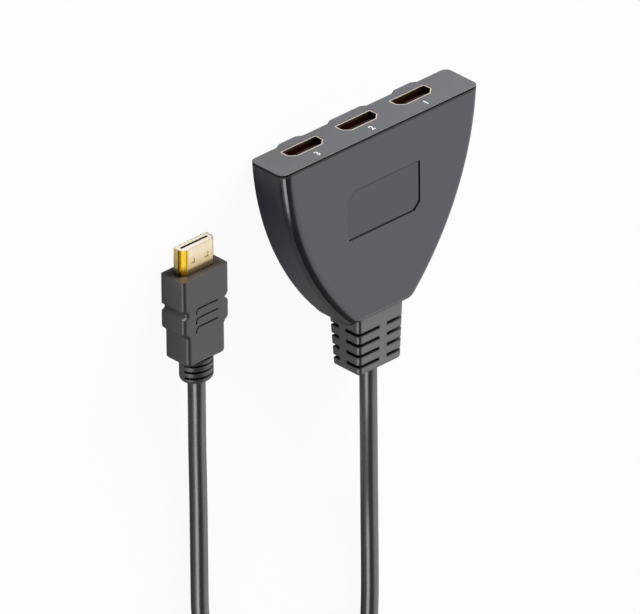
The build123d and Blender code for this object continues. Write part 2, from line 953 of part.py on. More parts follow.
notch_y = grip_front_y - grip_notch_setback
notch_floor = grip_half - grip_notch_depth
grip_side = [
    (grip_half, grip_front_y),
    (grip_half, notch_y),
    (notch_floor, notch_y - grip_notch_slope),
    (notch_floor, notch_y - grip_notch_length + grip_notch_lip),
    (grip_half, notch_y - grip_notch_length),
    (grip_half, grip_step_y),
    (tail_half, grip_tail_y),
    (tail_half, grip_back_y),
]
with BuildPart() as plug_overmould:
    with BuildSketch():
        with BuildLine():
            Polyline(
                *[(plug_x + x, y) for x, y in grip_side],
                *[(plug_x - x, y) for x, y in reversed(grip_side)],
                close=True,
            )
        make_face()
    extrude(amount=grip_depth)
    below_front = plug_overmould.edges().filter_by(
        lambda edge: edge.center().Y < grip_front_y - grip_edge_radius
    )
    upright = below_front.filter_by(Axis.Z)
    corners = upright.filter_by(lambda edge: edge.center().Y < notch_y - grip_notch_length - overrun)
    fillet(corners, grip_edge_radius)
    rims = plug_overmould.edges().filter_by(
        lambda edge: edge.center().Y < grip_front_y - grip_edge_radius
    )
    fillet(rims.group_by(Axis.Z)[-1], grip_edge_radius)
    rims = plug_overmould.edges().filter_by(
        lambda edge: edge.center().Y < grip_front_y - grip_edge_radius
    )
    fillet(rims.group_by(Axis.Z)[0], grip_back_radius)
    groove_right = plug_x + grip_groove_shift + grip_groove_length / 2
    groove_left = groove_right - grip_groove_length
    with BuildSketch(Plane.XY.offset(grip_depth - grip_groove_depth)):
        for index in range(grip_groove_count):
            groove_y = grip_front_y - grip_groove_setback - index * grip_groove_pitch
            with BuildLine():
                FilletPolyline(
                    (groove_right, groove_y),
                    (groove_left, groove_y),
                    (groove_left, groove_y - grip_groove_hook),
                    radius=grip_groove_bend,
                )
            trace(line_width=grip_groove_width)
    extrude(amount=grip_groove_depth + overrun, mode=Mode.SUBTRACT)
    add(
        bar(plug_shell_profile(), grip_front_y + overrun, plug_shell_buried + overrun),
        mode=Mode.SUBTRACT,
    )
save(plug_overmould, "plug_overmould")

with BuildSketch() as plug_relief_section:
    with Locations((plug_x, plug_z)):
        Ellipse(plug_relief_width / 2, plug_relief_depth / 2)
with BuildPart() as plug_relief:
    add(bar(plug_relief_section.sketch, grip_back_y, plug_relief_length))
    fillet(plug_relief.faces().sort_by(Axis.Y)[0].edges(), plug_relief_tip_round)
    for index in range(rib_groove_count):
        rib_y = grip_back_y - rib_first_groove - index * rib_groove_pitch
        with BuildSketch(Plane.XZ.offset(-rib_y)):
            with Locations((plug_x, plug_z)):
                Rectangle(plug_relief_width + overrun, plug_relief_depth + overrun)
                Ellipse(
                    plug_relief_width / 2 - rib_groove_depth,
                    plug_relief_depth / 2 - rib_groove_depth,
                    mode=Mode.SUBTRACT,
                )
            with Locations((plug_x, plug_z + (rib_web_high - rib_web_low) / 2)):
                Rectangle(
                    plug_relief_width + 2 * overrun, rib_web_high + rib_web_low,
                    mode=Mode.SUBTRACT,
                )
        extrude(amount=rib_groove_width, mode=Mode.SUBTRACT)
save(plug_relief, "plug_relief")

with BuildPart() as plug_shell:
    shell_length = plug_shell_exposed + plug_shell_buried
    add(bar(plug_shell_profile(), plug_mouth_y, shell_length))
    add(
        bar(plug_shell_profile(-plug_shell_wall), plug_mouth_y + overrun, shell_length + 2 * overrun),
        mode=Mode.SUBTRACT,
    )
    dimple_front = plug_mouth_y - plug_dimple_setback
    for side in (-1, 1):
        dimple_x = plug_x + side * plug_dimple_spacing / 2
        for face_z, inward in ((shell_low, 1), (shell_low + plug_shell_height, -1)):
            low, high = sorted((face_z - inward * overrun, face_z + inward * plug_dimple_depth))
            add(
                block(
                    (dimple_x - plug_dimple_width / 2, dimple_x + plug_dimple_width / 2),
                    (dimple_front - plug_dimple_length, dimple_front),
                    (low, high),
                ),
                mode=Mode.SUBTRACT,
            )
save(plug_shell, "plug_shell")

with BuildPart() as plug_contacts:
    contact_front = plug_mouth_y - plug_insulator_inset - plug_contact_inset
    for count, face_z, inward in (
        (upper_contact_count, slot_z + plug_slot_height / 2, -1),
        (lower_contact_count, slot_z - plug_slot_height / 2, 1),
    ):
        for index in range(count):
            x = plug_x + (index - (count - 1) / 2) * contact_pitch
            low, high = sorted((face_z, face_z + inward * contact_thickness))
            add(
                block(
                    (x - contact_width / 2, x + contact_width / 2),
                    (contact_front - plug_contact_length, contact_front),
                    (low, high),
                )
            )
save(plug_contacts, "plug_contacts")

with BuildPart() as plug_insulator:
    insulator_front = plug_mouth_y - plug_insulator_inset
    add(bar(plug_shell_profile(-plug_shell_wall), insulator_front, shell_length - plug_insulator_inset))
    add(
        block(
            (plug_x - plug_slot_width / 2, plug_x + plug_slot_width / 2),
            (insulator_front - plug_slot_depth, insulator_front + overrun),
            (slot_z - plug_slot_height / 2, slot_z + plug_slot_height / 2),
        ),
        mode=Mode.SUBTRACT,
    )
save(plug_insulator, "plug_insulator")

# Free cable. It leaves the relief level, comes down to the surface and runs to the coil,
# and from the coil back along the surface and up to the plug.
coil_z = cable_radius + tie_thickness + tie_gap
coil_entry = Vector(coil_x + coil_radius, coil_y + cable_diameter, coil_z)
coil_exit = Vector(
    coil_x - coil_radius - coil_exit_step, coil_y + cable_diameter, coil_z + coil_climb
)
box_route = [
    Vector(0, relief_tip_y, relief_z),
    Vector(0, -53.0, 9.0),
    Vector(2.1, -73.0, 6.8),
    Vector(5.1, -96.0, 3.6),
    Vector(5.9, -116.0, 2.85),
    Vector(5.7, -134.0, 2.9),
    Vector(coil_entry.X, -148.5, coil_z),
    coil_entry,
]
plug_route = [
    coil_exit,
    Vector(coil_exit.X, -148.0, coil_exit.Z),
    Vector(-62.6, -131.0, 5.6),
    Vector(-65.0, -112.0, 3.0),
    Vector(-65.7, -91.0, 2.85),
    Vector(-65.9, -66.0, 2.85),
    Vector(-67.0, -46.0, 3.8),
    Vector(plug_x, -32.5, plug_z),
    Vector(plug_x, plug_end_y, plug_z),
]
run_share = 0.45


def corner_radii(route):
    """One radius for each corner, as large as the shorter of its two runs allows."""
    radii = []
    for before, corner, after in zip(route, route[1:], route[2:]):
        arriving, leaving = corner - before, after - corner
        turn = arriving.get_angle(leaving) * pi / 180
        shorter = min(arriving.length, leaving.length)
        radii.append(run_share * shorter * cos(turn / 2) / sin(turn / 2))
    return radii


def cable_tube(route, name):
    """Tube along straight runs joined by tangent arcs."""
    radii = corner_radii(route)
    with BuildPart() as tube:
        with BuildLine() as path:
            FilletPolyline(*route, radius=radii)
        centre_line = path.wire()
        with BuildSketch(Plane(origin=centre_line @ 0, z_dir=centre_line % 0)):
            Circle(cable_radius)
        sweep(path=centre_line)
    expected = centre_line.length * pi * cable_radius**2
    print(name, "length", round(centre_line.length, 1), "radii", [round(r, 1) for r in radii])
    print(name, "volume over section x length", round(tube.part.volume / expected, 4))
    return tube, centre_line.length


cable_box_side, box_side_length = cable_tube(box_route, "cable_box_side")
save(cable_box_side, "cable_box_side")
cable_plug_side, plug_side_length = cable_tube(plug_route, "cable_plug_side")
save(cable_plug_side, "cable_plug_side")

# Coil of one and a half turns: the first turn lies on the surface and draws in,
# then the cable climbs beside it and leaves over it.
quarter_radii = [
    coil_radius,
    coil_radius,
    coil_radius,
    coil_radius - coil_turn_step / 2,
    coil_radius - coil_turn_step,
    coil_radius - coil_turn_step,
    coil_radius + coil_exit_step,
]
quarter_heights = [coil_z] * 5 + [coil_z + coil_climb] * 2


def coil_knot(quarter):
    """Point and direction of the coil after so many quarter turns."""
    angle = quarter * pi / 2
    radius = quarter_radii[quarter]
    point = Vector(
        coil_x + radius * cos(angle), coil_y - radius * sin(angle), quarter_heights[quarter]
    )
    return point, Vector(-sin(angle), -cos(angle), 0)


def biarc(start, start_direction, end, end_direction):
    """Joint and its direction for two arcs that leave start and reach end smoothly."""
    span = end - start
    both = start_direction + end_direction
    along = span.dot(both)
    spread = 2 * (1 - start_direction.dot(end_direction))
    reach = (sqrt(along**2 + spread * span.dot(span)) - along) / spread
    first = start + start_direction * reach
    second = end - end_direction * reach
    return (first + second) / 2, (second - first).normalized()


with BuildPart() as cable_coil:
    with BuildLine() as coil_path:
        Line(coil_entry, coil_knot(0)[0])
        for quarter in range(len(quarter_radii) - 1):
            here, heading = coil_knot(quarter)
            there, next_heading = coil_knot(quarter + 1)
            joint, joint_heading = biarc(here, heading, there, next_heading)
            TangentArc(here, joint, tangent=heading)
            TangentArc(joint, there, tangent=joint_heading)
        Line(coil_knot(len(quarter_radii) - 1)[0], coil_exit)
    coil_line = coil_path.wire()
    with BuildSketch(Plane(origin=coil_entry, z_dir=(0, -1, 0))):
        Circle(cable_radius)
    sweep(path=coil_line)
save(cable_coil, "cable_coil")

coil_length = coil_line.length
samples = 400
points = [coil_line @ (index / samples) for index in range(samples + 1)]
skip = int(samples * 4 * cable_diameter / coil_length)
least_gap = min(
    (points[far_index] - points[near_index]).length
    for near_index in range(samples)
    for far_index in range(near_index + skip, samples + 1)
) - cable_diameter
print("cable_coil length", round(coil_length, 1), "least gap to itself", round(least_gap, 2))
print(
    "cable_coil volume over section x length",
    round(cable_coil.part.volume / (coil_length * pi * cable_radius**2), 4),
)
print("whole cable", round(box_side_length + coil_length + plug_side_length, 1))

# Strap round the two strands of the coil, where the box's side enters it
tie_x = coil_x + coil_radius - coil_turn_step / 2
tie_inner_width = coil_turn_step + cable_diameter + 2 * tie_side_gap
tie_inner_height = cable_diameter + 2 * tie_gap
with BuildPart() as coil_tie:
    with BuildSketch(Plane.XZ.offset(-(coil_y + tie_length / 2))):
        with Locations((tie_x, coil_z)):
            RectangleRounded(
                tie_inner_width + 2 * tie_thickness,
                tie_inner_height + 2 * tie_thickness,
                tie_corner_radius + tie_thickness,
            )
            RectangleRounded(
                tie_inner_width, tie_inner_height, tie_corner_radius, mode=Mode.SUBTRACT
            )
    extrude(amount=tie_length)
save(coil_tie, "coil_tie")
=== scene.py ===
import bmesh
import bpy
from math import cos, pi, radians, sin
from mathutils import Matrix, Vector


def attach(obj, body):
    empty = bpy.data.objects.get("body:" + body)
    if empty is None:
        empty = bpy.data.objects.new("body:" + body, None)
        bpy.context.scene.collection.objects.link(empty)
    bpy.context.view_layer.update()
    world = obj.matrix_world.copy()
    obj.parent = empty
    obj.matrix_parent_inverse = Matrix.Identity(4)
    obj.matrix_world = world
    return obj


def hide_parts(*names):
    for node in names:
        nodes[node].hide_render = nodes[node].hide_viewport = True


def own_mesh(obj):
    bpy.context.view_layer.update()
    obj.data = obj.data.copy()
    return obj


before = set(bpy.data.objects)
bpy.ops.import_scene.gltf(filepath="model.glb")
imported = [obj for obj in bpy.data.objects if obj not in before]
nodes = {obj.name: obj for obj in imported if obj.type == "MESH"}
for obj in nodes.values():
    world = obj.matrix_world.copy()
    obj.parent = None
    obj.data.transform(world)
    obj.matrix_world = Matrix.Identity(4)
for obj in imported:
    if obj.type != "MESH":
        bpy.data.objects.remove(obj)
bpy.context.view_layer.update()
mm = 0.001
print("frame loaded:", len(nodes), "nodes")


# Camera, on the photograph's line of sight. Places are in millimetres here and below.
sight = {
    "target": (-19.157, -15.316, 8.1),
    "distance": 5417.2,
    "azimuth": -129.73,
    "elevation": 39.21,
    "roll": 117.16,
    "lens": 1000.0,
    "sensor": 36.0,
    "nearest": 1000.0,
    "farthest": 12000.0,
}


def makeCamera():
    turn, lift, roll = (radians(sight[key]) for key in ("azimuth", "elevation", "roll"))
    back = Vector((sin(turn) * cos(lift), -cos(turn) * cos(lift), sin(lift)))
    level = Vector((cos(turn), sin(turn), 0))
    right = level * cos(roll) + back.cross(level) * sin(roll)
    up = back.cross(right)
    data = bpy.data.cameras.new("camera")
    data.lens, data.sensor_width = sight["lens"], sight["sensor"]
    data.clip_start, data.clip_end = sight["nearest"] * mm, sight["farthest"] * mm
    camera = bpy.data.objects.new("camera", data)
    bpy.context.scene.collection.objects.link(camera)
    place = (Vector(sight["target"]) + back * sight["distance"]) * mm
    turned = Matrix((right, up, back)).transposed().to_4x4()
    camera.matrix_world = Matrix.Translation(place) @ turned
    bpy.context.scene.camera = camera
    bpy.context.scene.view_settings.view_transform = "Standard"


makeCamera()
print("camera made")


# Output cable: one smooth line from the box's relief through the coil to the plug
cable = {
    "diameter": 5.54,
    "boxSide": [
        (0, -41.75, 9.0), (0, -53.0, 9.0), (2.1, -73.0, 6.8), (5.1, -96.0, 3.6),
        (5.9, -116.0, 2.85), (5.7, -134.0, 2.9), (4.0, -148.5, 3.27),
    ],
    "plugSide": [
        (-61.1, -148.0, 9.27), (-62.6, -131.0, 5.6), (-66.1, -112.0, 3.0),
        (-65.95, -91.0, 2.85), (-65.9, -66.0, 2.85), (-67.0, -46.0, 3.8),
        (-68.0, -32.5, 4.97), (-68.0, -21.65, 4.97),
    ],
    "coilCentre": (-25.5, -162.5),
    "coilLow": 3.27,
    "coilClimb": 6.0,
    "quarterRadii": (29.5, 29.5, 29.5, 26.25, 23.0, 23.0, 35.6),
    "pointsPerQuarter": 4,
    "climbQuarter": 4,
    "length": 0.5226,
    "sideSteps": 7,
    "lineSteps": 12,
}


def smoothStep(share):
    return share * share * (3 - 2 * share)


def coilPoints():
    # the line runs a little inside its control points, so these stand out by as much
    perQuarter = cable["pointsPerQuarter"]
    radii = cable["quarterRadii"]
    spread = 1 / cos(pi / (4 * perQuarter))
    points = []
    for step in range(perQuarter * (len(radii) - 1) + 1):
        quarter, part = divmod(step, perQuarter)
        following = radii[min(quarter + 1, len(radii) - 1)]
        radius = radii[quarter] + (following - radii[quarter]) * smoothStep(part / perQuarter)
        climb = smoothStep(min(max(step / perQuarter - cable["climbQuarter"], 0), 1))
        angle = step / perQuarter * pi / 2
        points.append((
            cable["coilCentre"][0] + radius * spread * cos(angle),
            cable["coilCentre"][1] - radius * spread * sin(angle),
            cable["coilLow"] + cable["coilClimb"] * climb,
        ))
    return points


def makeCable():
    points = cable["boxSide"] + coilPoints() + cable["plugSide"]
    data = bpy.data.curves.new("outputCable", "CURVE")
    data.dimensions = "3D"
    spline = data.splines.new("NURBS")
    spline.points.add(len(points) - 1)
    for point, place in zip(spline.points, points):
        point.co = (*(Vector(place) * mm), 1)
        point.radius = cable["diameter"] / 2 * mm
    spline.order_u = 3
    spline.use_endpoint_u = True
    spline.resolution_u = cable["lineSteps"]
    spline.use_smooth = True
    data.bevel_depth = 1.0  # each point's own radius sets the tube's
    data.bevel_resolution = cable["sideSteps"]
    data.use_fill_caps = True
    piece = bpy.data.objects.new("outputCable", data)
    bpy.context.scene.collection.objects.link(piece)
    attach(piece, "housing")
    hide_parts("cable_box_side", "cable_coil", "cable_plug_side")
    return piece


outputCable = makeCable()
print("cable made")


# Materials: arithmetic on a Signal adds Math nodes, and Finish.make adds any other node
class Signal:
    def __init__(self, finish, socket):
        self.finish, self.socket = finish, socket

    def combine(self, operation, first, second):
        return self.finish.make("ShaderNodeMath", {"operation": operation}, {0: first, 1: second})

    def __add__(self, other):
        return self.combine("ADD", self, other)

    __radd__ = __add__

    def __sub__(self, other):
        return self.combine("SUBTRACT", self, other)

    def __rsub__(self, other):
        return self.combine("SUBTRACT", other, self)

    def __mul__(self, other):
        return self.combine("MULTIPLY", self, other)

    __rmul__ = __mul__

    def __truediv__(self, other):
        return self.combine("DIVIDE", self, other)

    def __rtruediv__(self, other):
        return self.combine("DIVIDE", other, self)

    def __pow__(self, other):
        return self.combine("POWER", self, other)

    def __rpow__(self, other):
        return self.combine("POWER", other, self)

    def __gt__(self, other):
        return self.combine("GREATER_THAN", self, other)

    def __lt__(self, other):
        return self.combine("LESS_THAN", self, other)


socketNames = {
    "color": "Base Color", "roughness": "Roughness", "metal": "Metallic", "normal": "Normal",
    "specular": "Specular IOR Level", "specularTint": "Specular Tint", "ior": "IOR",
    "glow": "Emission Color", "glowStrength": "Emission Strength",
    "through": "Transmission Weight",
}


class Finish:
    def __init__(self, name, **fixed):
        self.material = bpy.data.materials.new(name)
        self.material.use_nodes = True
        self.tree = self.material.node_tree
        self.shader = self.tree.nodes["Principled BSDF"]
        for key, value in fixed.items():
            self.shader.inputs[socketNames[key]].default_value = value

    def make(self, kind, settings=None, values=None, output=0):
        node = self.tree.nodes.new(kind)
        for key, value in (settings or {}).items():
            if key == "stops":
                ramp = node.color_ramp
                while len(ramp.elements) < len(value):
                    ramp.elements.new(1)
                for element, (position, color) in zip(ramp.elements, value):
                    element.position, element.color = position, (*color, 1)
            elif key == "steps":
                node.color_ramp.interpolation = value
            else:
                setattr(node, key, value)
        for key, value in (values or {}).items():
            self.join(node.inputs[key], value)
        return Signal(self, node.outputs[output])

    def join(self, socket, value):
        if isinstance(value, Signal):
            self.tree.links.new(value.socket, socket)
        else:
            socket.default_value = value

    def drive(self, key, value):
        self.join(self.shader.inputs[socketNames[key]], value)

    def place(self):
        return self.make("ShaderNodeTexCoord", output="Object")

    def noise(self, size, detail=2.0, stretch=(1, 1, 1)):
        scale = tuple(1 / (size * mm * part) for part in stretch)
        mapped = self.make("ShaderNodeMapping", None, {"Vector": self.place(), "Scale": scale})
        return self.make(
            "ShaderNodeTexNoise", None, {"Vector": mapped, "Scale": 1.0, "Detail": detail},
        )

    def parts(self, vector, axes):
        split = self.make("ShaderNodeSeparateXYZ", None, {"Vector": vector}).socket.node
        return [Signal(self, split.outputs[axis]) for axis in axes]

    def spot(self, axes="XYZ"):
        # place on the piece along the named axes, in millimetres
        return [part * (1 / mm) for part in self.parts(self.place(), axes)]

    def facing(self, axes):
        # how far the surface faces along the named axes
        return self.parts(self.make("ShaderNodeNewGeometry", output="Normal"), axes)

    def ease(self, value, low, high):
        return self.make(
            "ShaderNodeMapRange", {"interpolation_type": "SMOOTHSTEP"},
            {"Value": value, "From Min": low, "From Max": high},
        )

    def band(self, value, rise, fall):
        # 1 between the rise and the fall, each a low and a high value
        return self.ease(value, *rise) * (1 - self.ease(value, *fall))

    def inside(self, value, limits):
        return (value > limits[0]) * (value < limits[1])

    def size(self, value):
        return self.make("ShaderNodeMath", {"operation": "ABSOLUTE"}, {0: value})

    def smallest(self, first, second):
        return self.make("ShaderNodeMath", {"operation": "MINIMUM"}, {0: first, 1: second})

    def largest(self, first, second):
        return self.make("ShaderNodeMath", {"operation": "MAXIMUM"}, {0: first, 1: second})

    def blendColors(self, mask, low, high):
        return self.make(
            "ShaderNodeMix", {"data_type": "RGBA"}, {"Factor": mask, 6: low, 7: high}, 2
        )

    def tint(self, mask, low, high):
        return self.blendColors(mask, (*low, 1), (*high, 1))

    def vary(self, mask, color, share):
        # from a little darker than a colour to a little paler
        low, high = (tuple(part * factor for part in color) for factor in (1 - share, 1 + share))
        return self.tint(mask, low, high)

    def bump(self, height, depth=1.0, under=None):
        # height times depth is in millimetres
        values = {"Height": height, "Distance": depth * mm}
        if under is not None:
            values["Normal"] = under
        return self.make("ShaderNodeBump", None, values)

    def driveTones(self, color, roughness, tones):
        # a tone is a mask, the colour there and how much duller it is
        for mask, tone, dulling in tones:
            color = self.blendColors(mask, color, (*tone, 1))
            roughness = roughness + mask * dulling
        self.drive("color", color)
        self.drive("roughness", roughness)


noiseMiddle = 0.5


def mouldedPlastic(name, look, shade=None, swell=None):
    # moulded plastic: faint flow mottling, a fine spark texture and a slightly uneven gloss;
    # shade gives the tones of the piece's painted light and shade, and swell the height by
    # which its broad faces fall away towards their edges
    finish = Finish(name, specular=look["specular"], specularTint=(*look["gleam"], 1),
                    ior=look["ior"])
    flow = finish.noise(look["flowSize"], look["flowDetail"])
    grain = finish.noise(look["grainSize"], look["grainDetail"])
    body = finish.vary(flow, look["color"], look["mottle"])
    fine = finish.vary(grain, look["color"], look["speckle"])
    color = finish.blendColors(look["fineShare"], body, fine)
    roughness = look["roughness"] + (flow - noiseMiddle) * look["glossDrift"]
    finish.driveTones(color, roughness, shade(finish) if shade else [])
    under = finish.bump(swell(finish)) if swell else None
    finish.drive("normal", finish.bump(grain, look["grainDepth"], under))
    return finish.material


def platedMetal(name, look, shade=None):
    # plating over drawn sheet: faint lengthwise lines and a slow change of gloss
    finish = Finish(name, metal=1.0)
    drawn = finish.noise(look["lineSize"], stretch=(1, look["lineStretch"], 1))
    haze = finish.noise(look["hazeSize"])
    color = finish.tint(haze, look["deep"], look["pale"])
    roughness = look["roughness"] + (drawn - noiseMiddle) * look["glossDrift"]
    finish.driveTones(color, roughness, shade(finish) if shade else [])
    finish.drive("normal", finish.bump(drawn, look["lineDepth"]))
    return finish.material


# Places where a finish changes, and their tones: a colour and how much duller it is.
# These tones are painted light, shade, highlights and reflections.
casingMarks = {
    "paintedShadeSeam": (40.45, 41.56),
    "seamMiddle": 41.25,
    "recessAcross": (-13.85, 16.35),
    "recessAlong": (8.2, 25.3),
    "recessUp": (14.7, 15.56),
    "lipLow": 15.35,
    "edgeRise": (0.60, 0.74),
    "edgeFall": (0.95, 0.99),
    "edgeTurn": 0.8,
    "wallFade": (0.15, 0.5),
    # painted light: the side walls paler and bluer than the wide face
    "paintedLightWallTone": ((0.022, 0.024, 0.040), 0.0),
    # painted dark reflection: a near-black band along the rounded long edges
    "paintedDarkEdgeTone": ((0.003, 0.003, 0.004), -0.08),
    # painted light: the port panel paler than the wide face
    "paintedLightPanelTone": ((0.084, 0.086, 0.093), 0.02),
    # painted shade on the port panel's upper edge, which is duller too
    "paintedShadeLipTone": ((0.03, 0.03, 0.032), 0.35),
    # painted shade on the walls of the plate's recess
    "paintedShadeRecessTone": ((0.0015, 0.0015, 0.002), 0.3),
    # painted shade in the seam under the port panel
    "paintedShadeSeamTone": ((0.0015, 0.0015, 0.002), 0.4),
    "arcCentre": (-58.909, 47.952),
    "arcRadius": 100.6,
    "swellStart": 2.3,
    "swellEnd": 4.7,
    "swellSlope": 0.5,
}


def casingSwell(finish):
    # the wide face falls away a little before its rounded left edge begins
    marks = casingMarks
    across, along = finish.spot("XY")
    fromCentre = finish.size(across) - marks["arcCentre"][0]
    behind = along - marks["arcCentre"][1]
    distance = marks["arcRadius"] - (fromCentre * fromCentre + behind * behind) ** 0.5
    distance = finish.smallest(finish.largest(distance, 0.0), marks["swellEnd"])
    beyond = finish.largest(distance - marks["swellStart"], 0.0)
    fading = marks["swellEnd"] - marks["swellStart"]
    level = marks["swellEnd"] - fading / 2
    height = (distance - beyond * beyond / (2 * fading) - level) * marks["swellSlope"]
    return height * (across < 0.0) * (along < marks["seamMiddle"])


def casingShade(finish):
    # painted shade in the seam under the port panel, on the walls of the plate's recess and on
    # the panel's upper edge; a painted dark band on the rounded long edges; painted light on the
    # side walls and the port panel
    marks = casingMarks
    across, along, up = finish.spot()
    tiltAlong, tiltUp = finish.facing("YZ")
    paintedShadeSeam = finish.inside(along, marks["paintedShadeSeam"])
    paintedShadeRecess = (finish.inside(across, marks["recessAcross"])
              * finish.inside(along, marks["recessAlong"])
              * finish.inside(up, marks["recessUp"]))
    paintedDarkEdge = finish.band(tiltUp, marks["edgeRise"], marks["edgeFall"])
    paintedDarkEdge = paintedDarkEdge * (finish.size(tiltAlong) < marks["edgeTurn"])
    paintedLightWall = 1 - finish.ease(finish.size(tiltUp), *marks["wallFade"])
    paintedLightPanel = along > marks["paintedShadeSeam"][1]
    paintedShadeLip = paintedLightPanel * (up > marks["lipLow"])
    return [(paintedLightWall, *marks["paintedLightWallTone"]), (paintedDarkEdge, *marks["paintedDarkEdgeTone"]),
            (paintedLightPanel, *marks["paintedLightPanelTone"]), (paintedShadeLip, *marks["paintedShadeLipTone"]),
            (paintedShadeRecess, *marks["paintedShadeRecessTone"]), (paintedShadeSeam, *marks["paintedShadeSeamTone"])]


plateMarks = {
    "right": 15.68,
    "low": 8.87,
    "corner": 4.44,
    "sideFade": (0.3, 0.7),
    # painted shade along the plate's two low edges
    "paintedDarkEdgeTone": ((0.0015, 0.0015, 0.002), 0.4),
    # painted light on the plate's sides
    "paintedLightSideTone": ((0.20, 0.20, 0.215), 0.0),
}


def plateShade(finish):
    # painted shade along the plate's two low edges, and painted light on its sides in the narrow
    # gap round it
    marks = plateMarks
    across, along = finish.spot("XY")
    [tiltUp] = finish.facing("Z")
    edge = finish.largest(across > marks["right"], along < marks["low"])
    edge = finish.largest(edge, across - along > marks["corner"])
    paintedLightSide = 1 - finish.ease(finish.size(tiltUp), *marks["sideFade"])
    return [(edge, *marks["paintedDarkEdgeTone"]), (paintedLightSide, *marks["paintedLightSideTone"])]


reliefMarks = {
    "firstSlot": -25.9,
    "pitch": 3.8,
    "slotHalf": 0.5,
    "spill": 0.45,  # how far the slots' painted shade reaches past their edges
    "lastRun": 13.3,
    "web": (0.9, 7.6),
    "webHalf": 1.5,
    "edgeRise": (0.60, 0.74),
    "edgeFall": (0.95, 0.99),
    "edgeShare": 0.85,
    "wallFade": (0.8, 0.97),
    # painted shade in the slots
    "paintedShadeSlotTone": ((0.004, 0.004, 0.004), 0.3),
    # painted dark band along the rounded long edges
    "paintedDarkEdgeTone": ((0.012, 0.012, 0.012), 0.0),
    # painted light: the sides paler than the front
    "paintedLightWallTone": ((0.132, 0.132, 0.131), 0.0),
}


def reliefShade(finish):
    # painted shade in the slots of the strain relief and a painted dark band along its long
    # edges; painted light on its sides
    marks = reliefMarks
    across, along, up = finish.spot()
    tiltAcross, tiltUp = finish.facing("XZ")
    run = marks["firstSlot"] - along
    step = finish.make("ShaderNodeMath", {"operation": "MODULO"}, {0: run, 1: marks["pitch"]})
    spread = finish.size(step - marks["spill"] - marks["slotHalf"])
    paintedShadeSlot = 1 - finish.ease(spread, marks["slotHalf"], marks["slotHalf"] + marks["spill"])
    paintedShadeSlot = paintedShadeSlot * finish.inside(run, (0, marks["lastRun"]))
    cut = ((finish.size(across - marks["web"][0]) > marks["webHalf"])
           * (finish.size(up - marks["web"][1]) > marks["webHalf"]))
    paintedDarkEdge = finish.band(tiltUp, marks["edgeRise"], marks["edgeFall"])
    paintedLightWall = finish.ease(finish.size(tiltAcross), *marks["wallFade"])
    return [(paintedLightWall, *marks["paintedLightWallTone"]), (paintedDarkEdge * marks["edgeShare"], *marks["paintedDarkEdgeTone"]),
            (paintedShadeSlot * cut, *marks["paintedShadeSlotTone"])]


plugMarks = {
    "middle": (-68.0, 4.97),
    "shellHalf": (6.95, 2.225),
    "endFace": 16.5,
    "front": 25.34,
    # painted deep shade in the slot of the plug's mouth
    "slotAcross": (-73.61, -62.39),
    "slotUp": (4.16, 5.08),
    "paintedShadeSlotTone": ((0.002, 0.0015, 0.001), 0.3),
    # painted shade round the shell on the grip's end face
    "shadeReach": 2.5,
    "paintedShadeTone": ((0.010, 0.0075, 0.005), 0.3),
    # painted reflection of the shell on the grip's end face
    "gleam": -67.6,
    "gleamHalf": 1.0,
    "gleamFade": 0.7,
    "paintedReflectionTone": ((0.105, 0.062, 0.015), 0.1),
    # painted light: the grip's sides paler than its front
    "wallFade": (0.8, 0.97),
    "paintedLightWallTone": ((0.124, 0.124, 0.124), 0.0),
    # painted light on the notch's lower wall
    "paintedLightNotch": (3.5, 5.0),
    "notchTilt": 0.5,
    "paintedLightNotchTone": ((0.36, 0.36, 0.36), 0.1),
}


def insulatorShade(finish):
    # painted deep shade in the slot in the plug's mouth
    marks = plugMarks
    across, along, up = finish.spot()
    paintedShadeSlot = (finish.inside(across, marks["slotAcross"]) * finish.inside(up, marks["slotUp"])
            * (along < marks["front"]))
    return [(paintedShadeSlot, *marks["paintedShadeSlotTone"])]


def gripShade(finish):
    # painted light on the grip's sides and notch, and on its end face painted shade round the
    # shell and a painted reflection of the shell
    marks = plugMarks
    across, along, up = finish.spot()
    tiltAcross, tiltAlong = finish.facing("XY")
    middle = marks["middle"]
    near = across < middle[0]
    endFace = along > marks["endFace"]
    paintedLightWall = finish.ease(finish.size(tiltAcross), *marks["wallFade"])
    paintedLightNotch = finish.inside(along, marks["paintedLightNotch"]) * near * (tiltAlong > marks["notchTilt"])
    away = finish.largest(
        finish.size(across - middle[0]) - marks["shellHalf"][0],
        finish.size(up - middle[1]) - marks["shellHalf"][1],
    )
    shade = 1 - finish.ease(away, 0.0, marks["shadeReach"])
    aside = finish.size(across + up - marks["gleam"]) - marks["gleamHalf"]
    gleam = (1 - finish.ease(aside, 0.0, marks["gleamFade"])) * (up > middle[1]) * near
    return [(paintedLightWall, *marks["paintedLightWallTone"]), (paintedLightNotch, *marks["paintedLightNotchTone"]),
            (shade * endFace, *marks["paintedShadeTone"]), (gleam * endFace, *marks["paintedReflectionTone"])]


